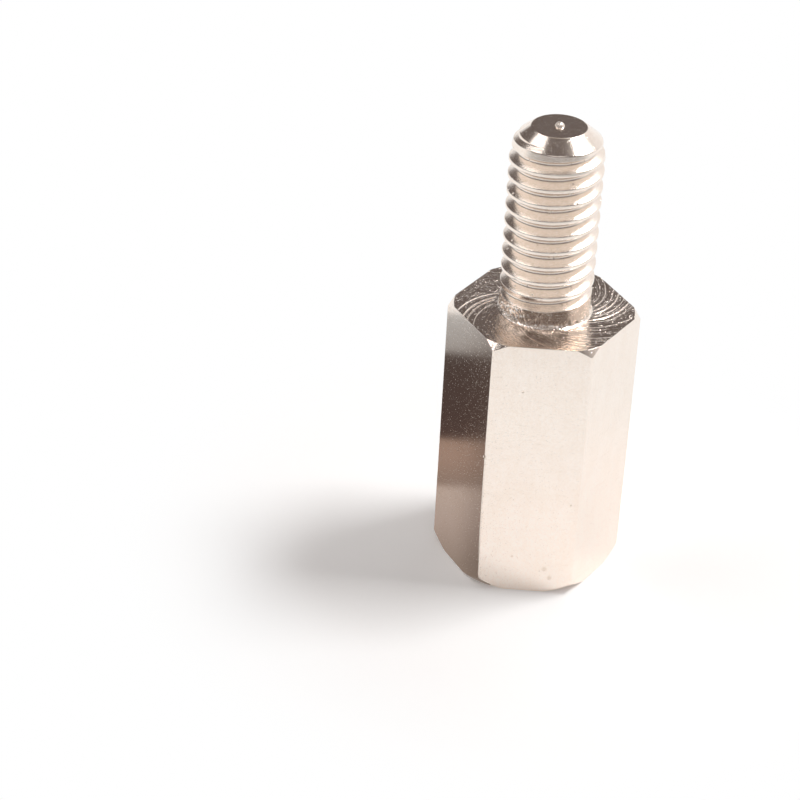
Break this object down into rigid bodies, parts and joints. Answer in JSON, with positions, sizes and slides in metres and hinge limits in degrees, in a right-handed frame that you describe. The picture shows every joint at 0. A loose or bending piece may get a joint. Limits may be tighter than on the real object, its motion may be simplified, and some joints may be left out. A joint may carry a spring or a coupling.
{
  "type": "hex standoff",
  "caption": "Male-female hex standoff: a hexagonal body with chamfered ends, a threaded stud on top and a blind tapped hole in the base, used to space boards and panels.",
  "frame": {"origin": "centre of the base face, on the turning axis, where the piece stands on a surface", "axes": "+Z along the turning axis from the tapped end to the stud; -Y out of one flat, the front; +X through a corner of the hexagon"},
  "size_m": [0.008, 0.007, 0.0205],
  "materials": {
    "nickel_plate": "bright nickel plate over turned brass, with drawn flats and turned ends"
  },
  "bodies": {
    "root": {"standoff": "nickel_plate"}
  },
  "joints": []
}
